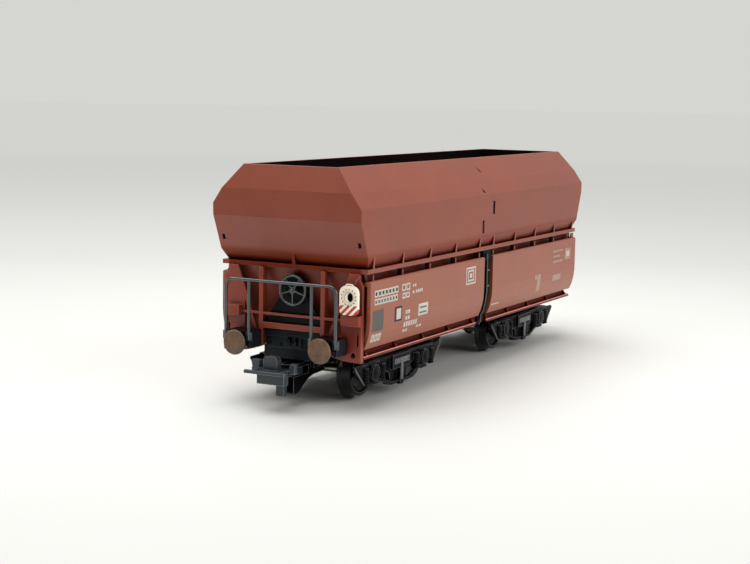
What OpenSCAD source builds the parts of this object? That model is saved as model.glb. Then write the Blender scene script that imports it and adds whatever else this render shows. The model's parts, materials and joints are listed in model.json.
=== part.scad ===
// Small-scale model of a four-axle open hopper wagon with side discharge flaps.
// Length runs along X with the hand-brake end at -X, Z is up and the
// wheel flanges stand on Z = 0. Sizes are in millimetres.

/* [Hopper] */
// Half length at the widest end fold
fold_x = 62.8; // [62.4:0.1:63.2]
// Half width at the widest side fold
fold_y = 17.5; // [17.3:0.1:17.7]
// Half length of the rim
rim_x = 60.9; // [60.5:0.1:61.3]
// Half width of the rim
rim_y = 11.2; // [10.8:0.1:11.8]
// Height of the rim above the floor
rim_z = 49.6; // [49:0.1:50.4]
// Wall thickness of the hopper
hopper_wall = 0.8; // [0.7:0.05:1]

/* [Waist rail] */
// Height of the top of the waist rail
rail_z = 29.3; // [29.2:0.1:29.4]
// Thickness of the waist rail
rail_t = 0.9; // [0.7:0.1:1]
// Distance between gussets
gusset_pitch = 13.2; // [12.9:0.1:13.2]

/* [Discharge flaps] */
// Outer face of the flaps from mid-width
flap_y = 17.7; // [17.5:0.1:17.8]
// Thickness of a flap
flap_t = 0.9; // [0.7:0.05:1]
// Start of the plain flaps from mid-length
flap_gap = 3.1; // [3:0.1:3.3]
// Start of the brake-end flaps from mid-length
brake_gap = 1.9; // [1.8:0.1:2.2]
// Outer end of a flap from mid-length
flap_end = 58.6; // [58.3:0.1:58.8]
// Outer end of a flap at the plain end
plain_end = 58.9; // [58.6:0.1:59]

/* [Bogies] */
// Distance of a bogie pivot from mid-length
pivot_x = 35.2; // [35:0.1:35.4]
// Half wheelbase of a bogie
half_base = 11.9; // [11.7:0.1:12]
// Radius of the wheel flange
flange_r = 6.2; // [6:0.1:6.3]
// Radius of the wheel tread
tread_r = 5.3; // [5.1:0.1:5.4]
// Radius of the axle journal
journal_r = 0.75; // [0.7:0.05:0.8]
// Running clearance of journals and pivots
run_gap = 0.06; // [0.04:0.01:0.09]

/* [Buffers] */
// Distance of a buffer face from mid-length
buffer_x = 66.2; // [66:0.1:66.5]
// Distance of a buffer from the centre line
buffer_y = 10.06; // [10:0.02:10.2]
// Height of the buffer centre above the floor
buffer_z = 13.1; // [13:0.1:13.3]
// Radius of the buffer disc
buffer_r = 2.6; // [2.4:0.1:2.7]

/* [Fittings] */
// Radius of the hand-brake wheel
brake_r = 3.3; // [3.1:0.1:3.4]
// Radius of the handrail wire
wire_r = 0.34; // [0.3:0.02:0.4]

/* [Hidden] */
$fn = 48;
red = [0.52, 0.24, 0.19];
dark_red = [0.40, 0.16, 0.13];
black = [0.08, 0.08, 0.09];
grey = [0.30, 0.34, 0.34];
f4x = 58.1;
f4y = 16.5;
axle_z = flange_r;
stations = [for (i = [0:4]) 4 + i * gusset_pitch];
// outer section rings of the hopper, top to bottom: half length, half width, height
rings = [[rim_x, rim_y, rim_z], [fold_x, 15.3, 44.6], [fold_x - 0.04, fold_y, 41.4],
  [fold_x - 0.1, fold_y, 38.9], [59.6, fold_y, 31.6], [f4x, f4y, rail_z]];

function ring_pts(r, w) = [[-r[0] + w, -r[1] + w, r[2]], [r[0] - w, -r[1] + w, r[2]],
  [r[0] - w, r[1] - w, r[2]], [-r[0] + w, r[1] - w, r[2]]];

// thin-walled shell through rectangular rings, open above and below
module ring_shell(rs, w) {
  n = len(rs);
  pts = concat([for (r = rs) each ring_pts(r, 0)], [for (r = rs) each ring_pts(r, w)]);
  fo = [for (k = [0:n - 2]) for (i = [0:3]) let (j = (i + 1) % 4)
    [4 * k + i, 4 * k + j, 4 * k + 4 + j, 4 * k + 4 + i]];
  fi = [for (k = [0:n - 2]) for (i = [0:3]) let (j = (i + 1) % 4, b = 4 * n + 4 * k)
    [b + 4 + i, b + 4 + j, b + j, b + i]];
  ft = [for (i = [0:3]) let (j = (i + 1) % 4) [i, 4 * n + i, 4 * n + j, j]];
  fb = [for (i = [0:3]) let (j = (i + 1) % 4, b = 4 * (n - 1))
    [b + i, b + j, 4 * n + b + j, 4 * n + b + i]];
  polyhedron(points = pts, faces = concat(fo, fi, ft, fb), convexity = 6);
}

// flat shape in YZ pushed along X from x0 to x1
module along_x(x0, x1) {
  translate([x0, 0, 0]) rotate([90, 0, 90]) linear_extrude(height = x1 - x0) children();
}

// flat shape in XZ pushed along Y from y0 to y1
module along_y(y0, y1) {
  translate([0, y1, 0]) rotate([90, 0, 0]) linear_extrude(height = y1 - y0) children();
}

module rod(p, q, r) {
  d = q - p;
  l = norm(d);
  translate(p) rotate([0, acos(d[2] / l), atan2(d[1], d[0])]) cylinder(r = r, h = l);
}

module upper_hopper() color(red) {
  difference() {
    ring_shell(rings, hopper_wall);
    for (s = [-1, 1]) for (t = [-1, 1])
      translate([s * 61, t * 16.1, 34.2]) cube([4, 0.7, 1.1], center = true);
    // slots and three-cornered notches at mid-length
    for (t = [0, 180]) rotate([0, 0, t]) {
      translate([3.3, -fold_y, 38.2]) cube([1.1, 2, 3.1], center = true);
      translate([-2.7, -fold_y, 34]) cube([1.1, 2, 3], center = true);
      along_y(-15, -12) polygon([[2.2, 47.7], [3.7, 46.3], [2.7, 46.5]]);
      along_y(-18, -15.5) polygon([[-1.9, 43], [-0.9, 41.8], [-2.2, 42]]);
    }
  }
  for (t = [-1, 1]) translate([0, t * (fold_y - hopper_wall - 0.2), 36.6])
    cube([0.6, 0.4, 9], center = true);
}

module gusset(x) {
  along_x(x - 0.3, x + 0.3)
    polygon([[-f4y, rail_z], [-17.3, rail_z], [-17.5, 31.6]]);
}

module waist_rail() color(red) {
  difference() {
    translate([-59.3, -17.3, rail_z - rail_t]) cube([118.6, 34.6, rail_t]);
    translate([-f4x + hopper_wall, -f4y + hopper_wall, 20])
      cube([2 * (f4x - hopper_wall), 2 * (f4y - hopper_wall), 20]);
  }
  // skirt behind the flap tops
  for (t = [0, 1]) mirror([0, t, 0]) {
    translate([-56.1, -15.3, 26]) cube([112.2, 0.5, rail_z - rail_t - 26]);
    for (s = [-1, 1]) for (x = stations) gusset(s * x);
  }
  // centre ribs above the end rails
  for (s = [0, 1]) mirror([s, 0, 0])
    along_y(-0.35, 0.35) polygon([[-f4x, rail_z], [-59.25, rail_z], [-59.6, 31.6]]);
}

// section of the black saddle: a round crown on two steep slopes
module saddle_out() {
  polygon([[-14.6, 11.6], [-12, 12.6], [-2.6, 25.45], [2.6, 25.45], [12, 12.6], [14.6, 11.6]]);
  translate([0, 23.6]) circle(r = 3.2);
}
module saddle_in() {
  polygon([[-12.4, 11.6], [-11, 12.5], [-2, 24.5], [2, 24.5], [11, 12.5], [12.4, 11.6]]);
  translate([0, 23.6]) circle(r = 2.2);
}

module centre_saddle() color(black) {
  difference() {
    along_x(-57.2, 57.2) difference() {
      saddle_out();
      saddle_in();
    }
    // ends cut back to the inside of the sloping end walls
    for (s = [0, 1]) mirror([s, 0, 0]) along_y(-20, 20)
      polygon([[-57.11, 28.4], [-52.11, 12.9], [-52.11, 0], [-60, 0], [-60, 28.4]]);
  }
}

module end_slope() {
  difference() {
    intersection() {
      along_y(-16.3, 16.3) polygon([[-57.2, 28.4], [-58.1, 28.4], [-53.1, 12.9], [-52.2, 12.9]]);
      along_x(-60, -45) polygon([[-15.9, 28.4], [-15.9, 25.6], [-16.3, 25.3], [-16.3, 18.5],
        [-16, 16], [-15.5, 14], [-14.9, 12.9], [14.9, 12.9], [15.5, 14], [16, 16],
        [16.3, 18.5], [16.3, 25.3], [15.9, 25.6], [15.9, 28.4]]);
    }
    along_x(-61, -44) translate([-3.3, 12]) square([6.6, 4]);
  }
}

module end_slope_brake() color(red) end_slope();
module end_slope_plain() color(red) mirror([1, 0, 0]) end_slope();

module centre_sill() color(black) {
  translate([-55.5, -3.2, 13.3]) cube([111, 6.4, 2.6]);
  for (s = [-1, 1]) translate([s * 14 - 1, -9, 13.3]) cube([2, 18, 1.5]);
}

// cross beam under the sill with the pivot of a bogie
module bolster(s) {
  for (t = [0, 1]) mirror([0, t, 0]) translate([s * pivot_x - 3, 0, 12.6]) {
    cube([6, 3.4, 0.7]);
    translate([0, 3.2, 0]) cube([6, 5.8, 2.2]);
  }
  translate([s * pivot_x, 0, 9.1]) cylinder(r = 2.6, h = 4.2);
  translate([s * pivot_x, 0, 6.3]) cylinder(r = 1.2, h = 3);
}

module bolster_brake() color(black) bolster(-1);
module bolster_plain() color(black) bolster(1);

// red frame of one end: posts, braces, cross bars and corner plates with a curved foot
module end_frame() {
  for (t = [0, 1]) mirror([0, t, 0]) {
    translate([-60, 6.9, 12.2]) cube([1.6, 0.9, 16.2]);
    along_x(-59.6, -59) polygon([[8.4, 15], [9.2, 15], [14.2, 28.4], [13.3, 28.4]]);
    difference() {
      along_x(-59.6, -59) polygon([[6.9, 11.9], [8.2, 11.4], [9.8, 10.9], [11.6, 10.5],
        [13.4, 10.35], [16.4, 10.35], [16.4, 26], [15.7, 27], [15.6, 28.4], [13.8, 28.4],
        [11.6, 22.4], [11.6, 15.2], [6.9, 15.2]]);
      translate([-61, 14.3, 11.7]) rotate([0, 90, 0]) cylinder(r = 0.6, h = 3);
      translate([-61, 15.2, 13.6]) cube([3, 0.4, 2.4]);
    }
  }
  translate([-60, -6.9, 15.7]) cube([1, 13.8, 1.2]);
  translate([-60, -12.4, 18.5]) cube([0.6, 24.8, 0.5]);
}

module end_frame_brake() color(red) {
  end_frame();
  // step boxes and their outer flanges
  translate([-61.1, 12.1, 17.9]) cube([1.6, 3.3, 2.2]);
  translate([-61.1, -16.4, 17.9]) cube([1.6, 4.2, 2.1]);
  for (t = [0, 1]) mirror([0, t, 0]) along_x(-60, -59.5)
    polygon([[15.9, 10.35], [16.4, 10.35], [16.4, 17.8], [15.9, 17.8]]);
}

// plain end: corner plates follow the curve of the flaps
module end_frame_plain() color(red) mirror([1, 0, 0]) difference() {
  end_frame();
  for (t = [0, 1]) mirror([0, t, 0]) along_x(-62, -57)
    polygon([[16.2, 30], [16.2, 18.8], [16.05, 17.3], [15.8, 15.8], [15.3, 14.5], [14.7, 13],
      [14.1, 11.5], [13.4, 10], [18, 10], [18, 30]]);
}

module headstock(disc_r) {
  difference() {
    union() {
      translate([-58.6, -6.8, 11.6]) cube([1.6, 13.6, 3.4]);
      translate([-58.4, -7.4, 9.4]) cube([1.4, 14.8, 2.6]);
      translate([-57.5, -6.5, 11.8]) cube([1.9, 13, 1.5]);
      // hook plate
      translate([-59.2, -1.8, 11.9]) cube([0.8, 3.6, 2.8]);
      // three-cornered plate between the posts
      along_x(-59, -58.4) {
        polygon([[-6.8, 14], [-6.8, 17.5], [-0.6, 26.2], [0.6, 26.2], [6.8, 17.5], [6.8, 14]]);
        if (disc_r > 0) translate([0, 24.2]) circle(r = disc_r);
      }
    }
    for (y = [-1, 0.5]) translate([-59.5, y - 0.3, 12.3]) cube([1.4, 0.6, 1.9]);
  }
  for (t = [-1, 1]) difference() {
    union() {
      // buffer box, open below, and the sleeve in it
      difference() {
        translate([-64.2, t * 10.2 - 2.9, 11.8]) cube([4.15, 5.8, 3.5]);
        translate([-64.9, t * 10.2 - 2.3, 11.1]) cube([4.2, 4.6, 3.6]);
      }
      translate([-64.6, t * buffer_y, buffer_z]) rotate([0, 90, 0]) cylinder(r = 1.4, h = 4.4);
    }
    translate([-65, t * buffer_y, buffer_z]) rotate([0, 90, 0]) cylinder(r = 0.95, h = 4);
  }
}

module headstock_brake() color(black) headstock(3);
module headstock_plain() color(black) mirror([1, 0, 0]) headstock(0);

// one side's chute strip with two ledges and their ribs
module chute() {
  translate([-57, -15.3, 10.9]) cube([114, 0.7, 2]);
  for (s = [0, 1]) mirror([s, 0, 0]) {
    translate([flap_gap, -16.3, 10.9]) cube([flap_end - flap_gap, 1, 0.6]);
    for (x = stations) along_x(x - 0.3, x + 0.3)
      polygon([[-15.3, 11.5], [-16.2, 11.5], [-15.3, 12.7]]);
  }
  // hangers up to the saddle foot
  translate([-57, -14.6, 10.9]) cube([114, 1.6, 0.7]);
}

module chute_right() color(dark_red) chute();
module chute_left() color(dark_red) mirror([0, 1, 0]) chute();

module buffer(s, t) {
  translate([s * buffer_x, t * buffer_y, buffer_z]) rotate([0, s < 0 ? 90 : -90, 0]) {
    cylinder(r = buffer_r, h = 0.8);
    translate([0, 0, 0.8]) cylinder(r = 0.93, h = 4.1);
  }
}

module buffer_brake_right() color(grey) buffer(-1, -1);
module buffer_brake_left() color(grey) buffer(-1, 1);
module buffer_plain_right() color(grey) buffer(1, -1);
module buffer_plain_left() color(grey) buffer(1, 1);

rail_x = -64.2 - wire_r;
rail_top = 26.1;
bend = 1.6;
module handrail() color(grey) {
  for (t = [-1, 1]) {
    rod([rail_x, t * 13, 13.6], [rail_x, t * 13, rail_top - bend], wire_r);
    translate([rail_x, t * (13 - bend), rail_top - bend]) rotate([0, 90, 0])
      rotate([0, 0, t > 0 ? 90 : 180]) rotate_extrude(angle = 90) translate([bend, 0]) circle(r = wire_r);
    rod([rail_x, t * 7.4, 13.6], [rail_x, t * 7.4, rail_top], wire_r);
    // flattened feet on the buffer boxes
    for (y = [7.4, 13]) translate([rail_x, t * y - 0.7, 13.4]) cube([wire_r, 1.4, 1.8]);
  }
  rod([rail_x, -13 + bend, rail_top], [rail_x, 13 - bend, rail_top], wire_r);
}

module brake_wheel() color(grey) translate([-60.6, -0.6, 24.1]) rotate([0, 90, 0]) {
  rotate_extrude() translate([brake_r - 0.3, 0]) circle(r = 0.3, $fn = 16);
  cylinder(r = 0.7, h = 1, center = true);
  for (i = [0:4]) rotate([0, 0, 36 + 72 * i]) translate([0.4, -0.2, -0.2]) cube([brake_r - 0.7, 0.4, 0.4]);
  cylinder(r = 0.4, h = 1.6);
}

module tail_lamp() color([0.85, 0.80, 0.72]) translate([-61.4, -14.1, 23.1]) {
  difference() {
    along_x(0, 0.8) polygon([[-2.15, -1.9], [-1.75, -2.6], [-1.1, -3], [1.1, -3], [1.75, -2.6], [2.15, -1.9],
      [2.15, 1.9], [1.75, 2.6], [1.1, 3], [-1.1, 3], [-1.75, 2.6], [-2.15, 1.9]]);
    translate([-0.2, -0.3, 0.5]) rotate([0, 90, 0]) cylinder(r = 1, h = 0.6);
  }
  translate([0.8, -0.5, -0.5]) cube([0.6, 1, 1]);
}

module lock_rod() {
  along_x(-1, 2.1) polygon([[-16.2, 25.6], [-17.3, 25.6], [-17.3, 18.5], [-17, 16],
    [-16.5, 14], [-15.9, 12.9], [-15.9, 11.4], [-15.3, 11.4], [-15.3, 13.4], [-15.9, 16], [-16.2, 18.5]]);
  translate([-1.5, -17.2, 25.6]) cube([4.2, 1.9, 2.8]);
}

module lock_rod_right() color(black) lock_rod();
module lock_rod_left() color(black) mirror([0, 1, 0]) lock_rod();

hinge_y = 16.4;
hinge_z = 26.3;
// side flap, flat above and curved inwards at the foot
module flap(start, end) {
  y = -flap_y;
  along_x(start, end) {
    polygon([[-hinge_y, 26.7], [y + 0.3, 26.9], [y, 26.6], [y, 18.8], [y + 0.1, 17.2],
      [y + 0.35, 15.7], [y + 0.75, 14.3], [y + 1.35, 12.95], [y + 1.35 + flap_t, 12.95 + 0.1],
      [y + 0.75 + flap_t, 14.5], [y + 0.35 + flap_t, 15.8], [y + 0.1 + flap_t, 17.3],
      [y + flap_t, 18.8], [y + flap_t, 25.9], [-hinge_y, 25.9]]);
    translate([-hinge_y, hinge_z]) circle(r = 0.4, $fn = 24);
  }
}

module flap_plain_right() color(red) flap(flap_gap, plain_end);
module flap_brake_right() color(red) mirror([1, 0, 0]) flap(brake_gap, flap_end);
module flap_plain_left() color(red) mirror([0, 1, 0]) flap(flap_gap, plain_end);
module flap_brake_left() color(red) mirror([1, 0, 0]) mirror([0, 1, 0]) flap(brake_gap, flap_end);

// bogie frame about its pivot
module bogie() {
  difference() {
    union() {
      for (t = [0, 1]) mirror([0, t, 0]) {
        along_y(-12.4, -10.5) polygon([[-17, 8.7], [17, 8.7], [17, 6.6], [14.6, 6.2], [14.6, 4.3],
          [9.4, 4.3], [8.2, 6.2], [4.4, 5], [3.4, 2], [-3.4, 2], [-4.4, 5], [-8.2, 6.2],
          [-9.4, 4.3], [-14.6, 4.3], [-14.6, 6.2], [-17, 6.6]]);
        for (s = [-1, 1]) {
          translate([s * half_base, -12.4, axle_z]) rotate([90, 0, 0]) cylinder(r = 1.7, h = 0.9);
          // coil springs either side of the axlebox
          for (d = [-3.6, 3.6]) translate([s * half_base + d, -12.4, 4.2]) cylinder(r = 0.95, h = 3.4);
        }
        translate([-4, -13.2, 5.6]) cube([8, 0.9, 3]);
        translate([-0.7, -13.3, 1.9]) cube([1.4, 0.95, 3.7]);
      }
      translate([-3, -10.6, 6.6]) cube([6, 21.2, 2.4]);
      // tongue over the outer axle and the coupler pocket at its end
      translate([-19.6, -2.6, 7.4]) cube([17, 5.2, 1.4]);
      along_y(-1.7, 1.7) polygon([[-13.6, 8.8], [-26.4, 8.8], [-26.4, 8.1], [-20.4, 8.1],
        [-20.4, 6.3], [-26.4, 6.3], [-26.4, 2.9], [-25.7, 2.5], [-24.3, 2.8], [-22.8, 3.8],
        [-20.6, 5.1], [-18.3, 5.7], [-13.6, 5.9]]);
      translate([-22.6, 0, 6]) cylinder(r = 0.6, h = 2.4);
    }
    translate([0, 0, 5]) cylinder(r = 1.2 + run_gap, h = 6);
    for (s = [-1, 1]) for (t = [0, 1]) mirror([0, t, 0])
      translate([s * half_base, -12.2, axle_z]) rotate([-90, 0, 0]) cylinder(r = journal_r + run_gap, h = 3);
  }
}

module bogie_brake() color(black) translate([-pivot_x, 0, 0]) bogie();
module bogie_plain() color(black) mirror([1, 0, 0]) translate([-pivot_x, 0, 0]) bogie();

module axle(x) {
  translate([x, 0, axle_z]) rotate([90, 0, 0]) rotate_extrude() polygon([[0, -12.1],
    [journal_r - 0.2, -12.1], [journal_r, -11.9], [journal_r, -10.1], [0.9, -10.1], [0.9, 10.1],
    [journal_r, 10.1], [journal_r, 11.9], [journal_r - 0.2, 12.1], [0, 12.1]]);
}

// one wheel with its flange on the inner side; t is -1 right, 1 left
module wheel(x, t) {
  translate([x, 0, axle_z]) rotate([-90 * t, 0, 0]) rotate_extrude() polygon([[0.9, 6.6],
    [1.6, 6.6], [1.7, 7.3], [4.2, 7.5], [4.4, 7], [flange_r - 0.2, 7], [flange_r, 7.2],
    [flange_r - 0.1, 7.5], [tread_r + 0.15, 7.9], [tread_r, 9.6], [tread_r - 0.2, 9.8], [4.5, 9.8],
    [4.3, 9.2], [1.9, 8.9], [1.7, 10.1], [0.9, 10.1]]);
}

wx = [-pivot_x - half_base, -pivot_x + half_base, pivot_x - half_base, pivot_x + half_base];
module axle_1() color(grey) axle(wx[0]);
module axle_2() color(grey) axle(wx[1]);
module axle_3() color(grey) axle(wx[2]);
module axle_4() color(grey) axle(wx[3]);
module wheel_1_right() color(black) wheel(wx[0], -1);
module wheel_1_left() color(black) wheel(wx[0], 1);
module wheel_2_right() color(black) wheel(wx[1], -1);
module wheel_2_left() color(black) wheel(wx[1], 1);
module wheel_3_right() color(black) wheel(wx[2], -1);
module wheel_3_left() color(black) wheel(wx[2], 1);
module wheel_4_right() color(black) wheel(wx[3], -1);
module wheel_4_left() color(black) wheel(wx[3], 1);

// loop coupler held by the pin of the bogie's pocket
module coupler() {
  difference() {
    union() {
      translate([-57.8, 0, 6.5]) cylinder(r = 1.4, h = 1.4);
      translate([-66.5, -1.3, 6.5]) cube([8.7, 2.6, 1.4]);
      // head: apron, deck and round-topped upright
      translate([-68, -3.2, 5.6]) cube([1.7, 6.4, 2.4]);
      translate([-70, -3.2, 8]) cube([3.9, 6.4, 0.6]);
      along_x(-68.1, -66.5) {
        translate([-1.65, 8.3]) square([3.3, 2.2]);
        translate([-0.75, 8.3]) square([1.5, 3.1]);
        for (t = [-1, 1]) translate([t * 0.75, 10.5]) circle(r = 0.9);
      }
      // release tab
      translate([-64.2, -0.95, 2.6]) cube([1.2, 1.9, 4.7]);
      // cross bar of the loop and its two lugs
      translate([-70.5, -4.75, 8]) cube([0.7, 9.5, 0.65]);
      translate([-66.6, -4.9, 7.9]) cube([1.1, 10.2, 0.7]);
      along_x(-66.6, -65.5) polygon([[3.6, 8.4], [5.1, 8.4], [5.4, 10], [4.9, 10.3], [3.4, 10.2]]);
      along_x(-66.6, -65.5) polygon([[-4.9, 8.4], [-3.7, 8.4], [-3.7, 9.8], [-4.2, 10.1], [-4.9, 9.8]]);
    }
    translate([-57.8, 0, 6]) cylinder(r = 0.6 + run_gap, h = 4);
  }
}

module coupler_brake() color(grey) coupler();
module coupler_plain() color(grey) mirror([1, 0, 0]) coupler();

upper_hopper();
waist_rail();
end_slope_brake();
end_slope_plain();
centre_saddle();
centre_sill();
bolster_brake();
bolster_plain();
end_frame_brake();
end_frame_plain();
headstock_brake();
headstock_plain();
chute_right();
chute_left();
buffer_brake_right();
buffer_brake_left();
buffer_plain_right();
buffer_plain_left();
handrail();
brake_wheel();
tail_lamp();
lock_rod_right();
lock_rod_left();
flap_brake_right();
flap_brake_left();
flap_plain_right();
flap_plain_left();
bogie_brake();
bogie_plain();
axle_1();
axle_2();
axle_3();
axle_4();
wheel_1_right();
wheel_1_left();
wheel_2_right();
wheel_2_left();
wheel_3_right();
wheel_3_left();
wheel_4_right();
wheel_4_left();
coupler_brake();
coupler_plain();
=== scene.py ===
import bpy, bmesh, math, json, random
from mathutils import Vector, Matrix


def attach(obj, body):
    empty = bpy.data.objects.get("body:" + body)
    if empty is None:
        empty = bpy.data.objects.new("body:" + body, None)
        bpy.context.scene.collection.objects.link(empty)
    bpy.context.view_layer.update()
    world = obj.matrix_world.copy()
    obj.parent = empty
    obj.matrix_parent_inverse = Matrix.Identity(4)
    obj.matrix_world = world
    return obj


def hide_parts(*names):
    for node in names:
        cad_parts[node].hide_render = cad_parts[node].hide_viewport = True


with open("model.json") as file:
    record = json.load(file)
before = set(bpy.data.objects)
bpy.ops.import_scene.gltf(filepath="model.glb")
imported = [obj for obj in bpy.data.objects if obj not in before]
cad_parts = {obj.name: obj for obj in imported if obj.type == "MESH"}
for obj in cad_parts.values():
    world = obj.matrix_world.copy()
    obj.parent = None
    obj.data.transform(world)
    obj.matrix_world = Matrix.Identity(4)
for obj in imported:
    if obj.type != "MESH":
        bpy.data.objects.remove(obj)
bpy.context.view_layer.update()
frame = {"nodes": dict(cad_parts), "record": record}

MM = 0.001
N = frame["nodes"]
rng = random.Random(7)


# ------------------------------------------------------------------ materials
def srgb(r, g, b):
    def f(c):
        c /= 255.0
        return c / 12.92 if c <= 0.04045 else ((c + 0.055) / 1.055) ** 2.4
    return (f(r), f(g), f(b), 1.0)


def new_mat(name):
    m = bpy.data.materials.new(name)
    m.use_nodes = True
    nt = m.node_tree
    nt.nodes.clear()
    out = nt.nodes.new("ShaderNodeOutputMaterial")
    b = nt.nodes.new("ShaderNodeBsdfPrincipled")
    nt.links.new(b.outputs[0], out.inputs[0])
    co = nt.nodes.new("ShaderNodeTexCoord")
    return m, nt, b, co


def mapping(nt, src, scale=(1, 1, 1), loc=(0, 0, 0)):
    mp = nt.nodes.new("ShaderNodeMapping")
    mp.inputs["Scale"].default_value = scale
    mp.inputs["Location"].default_value = loc
    nt.links.new(src, mp.inputs["Vector"])
    return mp.outputs[0]


def noise(nt, vec, scale, detail=4, rough=0.55, dist=0.0):
    n = nt.nodes.new("ShaderNodeTexNoise")
    n.inputs["Scale"].default_value = scale
    n.inputs["Detail"].default_value = detail
    n.inputs["Roughness"].default_value = rough
    n.inputs["Distortion"].default_value = dist
    nt.links.new(vec, n.inputs["Vector"])
    return n.outputs["Fac"]


def ramp(nt, fac, stops):
    r = nt.nodes.new("ShaderNodeValToRGB")
    e = r.color_ramp.elements
    while len(e) < len(stops):
        e.new(0.5)
    for el, (p, c) in zip(e, stops):
        el.position = p
        el.color = c if len(c) == 4 else (*c, 1)
    nt.links.new(fac, r.inputs[0])
    return r.outputs[0]


def grey(v):
    return (v, v, v, 1)


def plug(nt, sock, v):
    if isinstance(v, bpy.types.NodeSocket):
        nt.links.new(v, sock)
    else:
        sock.default_value = v


def mixc(nt, fac, a, b, mode="MIX"):
    m = nt.nodes.new("ShaderNodeMix")
    m.data_type = "RGBA"
    m.blend_type = mode
    for s, v in ((m.inputs[0], fac), (m.inputs[6], a), (m.inputs[7], b)):
        plug(nt, s, v)
    return m.outputs[2]


def math_n(nt, op, a, b=0.0, c=0.0):
    m = nt.nodes.new("ShaderNodeMath")
    m.operation = op
    for s, v in zip(m.inputs, (a, b, c)):
        plug(nt, s, v)
    return m.outputs[0]


def vdot(nt, a, b):
    m = nt.nodes.new("ShaderNodeVectorMath")
    m.operation = "DOT_PRODUCT"
    plug(nt, m.inputs[0], a)
    plug(nt, m.inputs[1], b)
    return m.outputs["Value"]


def relief(nt, b, height, strength, dist, radius):
    """rounded edges and fine grain; gives back a mask of the edges"""
    bv = nt.nodes.new("ShaderNodeBevel")
    bv.samples = 6
    bv.inputs["Radius"].default_value = radius
    bp = nt.nodes.new("ShaderNodeBump")
    bp.inputs["Strength"].default_value = strength
    bp.inputs["Distance"].default_value = dist
    nt.links.new(height, bp.inputs["Height"])
    nt.links.new(bv.outputs[0], bp.inputs["Normal"])
    nt.links.new(bp.outputs[0], b.inputs["Normal"])
    g = nt.nodes.new("ShaderNodeNewGeometry")
    return math_n(nt, "SUBTRACT", 1.0, vdot(nt, bv.outputs[0], g.outputs["Normal"])), g


# painted shade: ambient occlusion darkens the colour in corners, creases and recesses
def crevice_shade(nt, col, dist, dark, lo=0.25, hi=0.85):
    ao = nt.nodes.new("ShaderNodeAmbientOcclusion")
    ao.samples = 8
    ao.inputs["Distance"].default_value = dist
    return mixc(nt, 1.0, col, ramp(nt, ao.outputs["AO"], [(lo, dark), (hi, (1, 1, 1, 1))]), "MULTIPLY")


def rough_map(nt, b, fac, lo, hi):
    m = nt.nodes.new("ShaderNodeMapRange")
    m.inputs["To Min"].default_value = lo
    m.inputs["To Max"].default_value = hi
    nt.links.new(fac, m.inputs[0])
    nt.links.new(m.outputs[0], b.inputs["Roughness"])


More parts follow.
